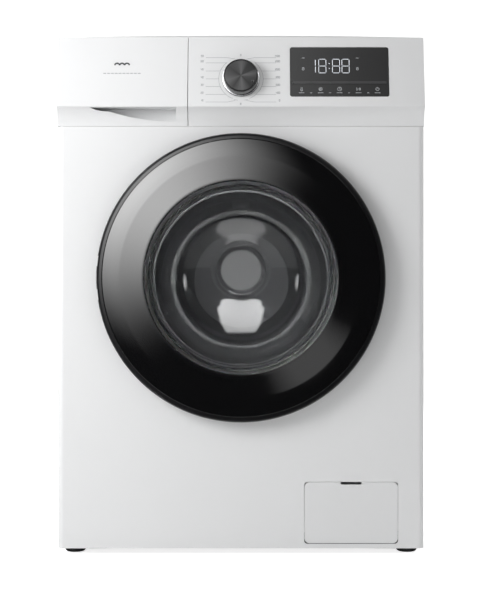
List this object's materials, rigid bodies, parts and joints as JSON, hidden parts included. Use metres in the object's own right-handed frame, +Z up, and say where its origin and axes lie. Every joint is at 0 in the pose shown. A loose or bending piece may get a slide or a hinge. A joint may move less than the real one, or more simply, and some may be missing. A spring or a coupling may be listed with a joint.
{
  "type": "front load washing machine",
  "caption": "Free-standing front-loading washing machine with a round hinged glass door, detergent drawer, rotary programme dial and digital display.",
  "frame": {"origin": "on the floor under the middle of the machine's bounding box", "axes": "+Z up, the door faces -Y, +X to the right of somebody facing the door"},
  "size_m": [0.595, 0.565, 0.845],
  "materials": {
    "white_paint": "smooth semi-gloss enamel",
    "white_laminate": "fine satin laminate",
    "white_plastic": "moulded, semi-gloss",
    "galvanised": "galvanised spangle",
    "black_plastic": "moulded, fine texture",
    "grey_plastic": "moulded",
    "pale_plastic": "moulded, satin",
    "valve_white": "moulded",
    "smoked_window": "smoked, high gloss",
    "circuit_board": "lacquered board",
    "hinge_metal": "zinc die cast",
    "grey_rubber": "matt elastomer",
    "spring_steel": "drawn wire",
    "black_rubber": "matt",
    "zinc_screws": "zinc plated",
    "foot_rubber": "moulded",
    "smoked_gloss": "dark metallic lacquer, high gloss",
    "dark_rim": "dark grey, satin",
    "bowl_glass": "pressed clear glass",
    "tub_plastic": "filled polypropylene",
    "cast_weight": "cast concrete",
    "heater_tube": "nickel sheath",
    "bearing_steel": "ground steel",
    "motor_case": "pressed and painted",
    "drum_steel": "polished stainless",
    "lifter_plastic": "moulded",
    "cast_aluminium": "as cast",
    "knob_black": "gloss",
    "brushed_disc": "radially brushed, dark",
    "key_gloss": "gloss"
  },
  "bodies": {
    "cabinet": {"cabinet_shell": "white_paint", "front_panel": "white_paint", "rear_service_cover": "galvanised", "base_frame": "black_plastic", "worktop": "white_laminate", "upper_crossbars": "galvanised", "console_fascia": "white_plastic", "display_window": "smoked_window", "control_boards": "circuit_board", "programme_switch": "grey_plastic", "dispenser_housing": "pale_plastic", "inlet_valve": "valve_white", "door_lock": "black_plastic", "hinge_bracket": "hinge_metal", "door_gasket": "grey_rubber", "suspension_springs": "spring_steel", "drain_pump": "pale_plastic", "tub_hoses": "black_rubber", "fixed_hoses": "black_rubber", "mains_gland": "black_plastic", "cabinet_screws": "zinc_screws", "transit_plugs": "white_plastic"},
    "door": {"door_outer_ring": "smoked_gloss", "door_bezel": "dark_rim", "door_inner_frame": "dark_rim", "door_glass": "bowl_glass", "hinge_leaf": "hinge_metal"},
    "door_latch": {"latch_hook": "hinge_metal"},
    "tub": {"tub_front": "tub_plastic", "tub_rear": "tub_plastic", "counterweights": "cast_weight", "heating_element": "heater_tube", "drum_bearings": "bearing_steel", "motor": "motor_case", "drive_belt": "black_rubber"},
    "drum": {"drum_shell": "drum_steel", "drum_back": "drum_steel", "drum_lifters": "lifter_plastic", "drum_spider": "cast_aluminium", "drum_pulley": "cast_aluminium"},
    "motor_rotor": {"motor_pulley": "bearing_steel"},
    "damper_left_lower": {"damper_cylinder_left": "grey_plastic"},
    "damper_right_lower": {"damper_cylinder_right": "grey_plastic"},
    "damper_left_upper": {"damper_rod_left": "black_plastic"},
    "damper_right_upper": {"damper_rod_right": "black_plastic"},
    "drawer": {"drawer_front": "white_plastic", "drawer_tray": "pale_plastic"},
    "knob": {"programme_knob": "knob_black", "knob_disc": "brushed_disc"},
    "flap": {"filter_flap": "white_plastic"},
    "filter": {"pump_filter": "white_plastic"},
    "key_temperature_cap": {"key_temperature": "key_gloss"},
    "key_spin_cap": {"key_spin": "key_gloss"},
    "key_delay_cap": {"key_delay": "key_gloss"},
    "key_start_cap": {"key_start": "key_gloss"},
    "key_power_cap": {"key_power": "key_gloss"},
    "levelling_foot_front_left": {"foot_front_left": "foot_rubber"},
    "levelling_foot_front_right": {"foot_front_right": "foot_rubber"},
    "levelling_foot_rear_left": {"foot_rear_left": "foot_rubber"},
    "levelling_foot_rear_right": {"foot_rear_right": "foot_rubber"}
  },
  "joints": [
    {"name": "door_hinge", "type": "hinge", "parent": "cabinet", "child": "door", "pos_m": [-0.221, -0.2545, 0.449], "axis": [0, 0, -1], "range_deg": [0, 130]},
    {"name": "latch_pivot", "type": "hinge", "parent": "door", "child": "door_latch", "pos_m": [0.19, -0.2355, 0.449], "axis": [0, 0, 1], "range_deg": [0, 8], "stiffness_Nm_per_rad": 0.6, "springref_deg": -5.73},
    {"name": "tub_float", "type": "slide", "parent": "cabinet", "child": "tub", "axis": [0, 0, 1], "range_m": [-0.015, 0.01], "stiffness_N_per_m": 20000, "springref_m": 0.01325, "deforming": ["door_gasket", "suspension_springs", "tub_hoses"]},
    {"name": "drum_spin", "type": "hinge", "parent": "tub", "child": "drum", "pos_m": [0, 0, 0.449], "axis": [0, 1, 0], "continuous": true},
    {"name": "motor_spin", "type": "hinge", "parent": "tub", "child": "motor_rotor", "pos_m": [0, 0, 0.119], "axis": [0, 1, 0], "continuous": true},
    {"name": "damper_left_swing", "type": "hinge", "parent": "cabinet", "child": "damper_left_lower", "pos_m": [-0.235, -0.0255, 0.052], "axis": [0, 1, 0], "range_deg": [-1.5, 1.5]},
    {"name": "damper_right_swing", "type": "hinge", "parent": "cabinet", "child": "damper_right_lower", "pos_m": [0.235, -0.0255, 0.052], "axis": [0, 1, 0], "range_deg": [-1.5, 1.5]},
    {"name": "damper_left_rod_swing", "type": "hinge", "parent": "tub", "child": "damper_left_upper", "pos_m": [-0.185, -0.0255, 0.225], "axis": [0, 1, 0], "range_deg": [-1.5, 1.5]},
    {"name": "damper_right_rod_swing", "type": "hinge", "parent": "tub", "child": "damper_right_upper", "pos_m": [0.185, -0.0255, 0.225], "axis": [0, 1, 0], "range_deg": [-1.5, 1.5]},
    {"name": "drawer_slide", "type": "slide", "parent": "cabinet", "child": "drawer", "axis": [0, -1, 0], "range_m": [0, 0.2]},
    {"name": "knob_turn", "type": "hinge", "parent": "cabinet", "child": "knob", "pos_m": [0, -0.24194, 0.7715], "axis": [0, -0.9781, 0.2079], "continuous": true},
    {"name": "flap_hinge", "type": "hinge", "parent": "cabinet", "child": "flap", "pos_m": [0.1789, -0.2341, 0.0242], "axis": [1, 0, 0], "range_deg": [0, 90]},
    {"name": "filter_turn", "type": "hinge", "parent": "cabinet", "child": "filter", "pos_m": [0.1789, -0.2375, 0.068], "axis": [0, 1, 0], "range_deg": [-90, 0]},
    {"name": "key_temperature_press", "type": "slide", "parent": "cabinet", "child": "key_temperature_cap", "axis": [0, 0.9781, -0.2079], "range_m": [0, 0.0008], "stiffness_N_per_m": 800, "springref_m": -0.0004},
    {"name": "key_spin_press", "type": "slide", "parent": "cabinet", "child": "key_spin_cap", "axis": [0, 0.9781, -0.2079], "range_m": [0, 0.0008], "stiffness_N_per_m": 800, "springref_m": -0.0004},
    {"name": "key_delay_press", "type": "slide", "parent": "cabinet", "child": "key_delay_cap", "axis": [0, 0.9781, -0.2079], "range_m": [0, 0.0008], "stiffness_N_per_m": 800, "springref_m": -0.0004},
    {"name": "key_start_press", "type": "slide", "parent": "cabinet", "child": "key_start_cap", "axis": [0, 0.9781, -0.2079], "range_m": [0, 0.0008], "stiffness_N_per_m": 800, "springref_m": -0.0004},
    {"name": "key_power_press", "type": "slide", "parent": "cabinet", "child": "key_power_cap", "axis": [0, 0.9781, -0.2079], "range_m": [0, 0.0008], "stiffness_N_per_m": 800, "springref_m": -0.0004},
    {"name": "foot_front_left_adjust", "type": "slide", "parent": "cabinet", "child": "levelling_foot_front_left", "axis": [0, 0, -1], "range_m": [0, 0.012]},
    {"name": "foot_front_right_adjust", "type": "slide", "parent": "cabinet", "child": "levelling_foot_front_right", "axis": [0, 0, -1], "range_m": [0, 0.012]},
    {"name": "foot_rear_left_adjust", "type": "slide", "parent": "cabinet", "child": "levelling_foot_rear_left", "axis": [0, 0, -1], "range_m": [0, 0.012]},
    {"name": "foot_rear_right_adjust", "type": "slide", "parent": "cabinet", "child": "levelling_foot_rear_right", "axis": [0, 0, -1], "range_m": [0, 0.012]}
  ],
  "couplings": [
    {"joint": "motor_spin", "follows": "drum_spin", "ratio": 12.743},
    {"joint": "damper_right_swing", "follows": "tub_float", "rad_per_m": 1.5418},
    {"joint": "damper_right_rod_swing", "follows": "tub_float", "rad_per_m": 1.5418},
    {"joint": "damper_left_swing", "follows": "tub_float", "rad_per_m": -1.5418},
    {"joint": "damper_left_rod_swing", "follows": "tub_float", "rad_per_m": -1.5418}
  ]
}
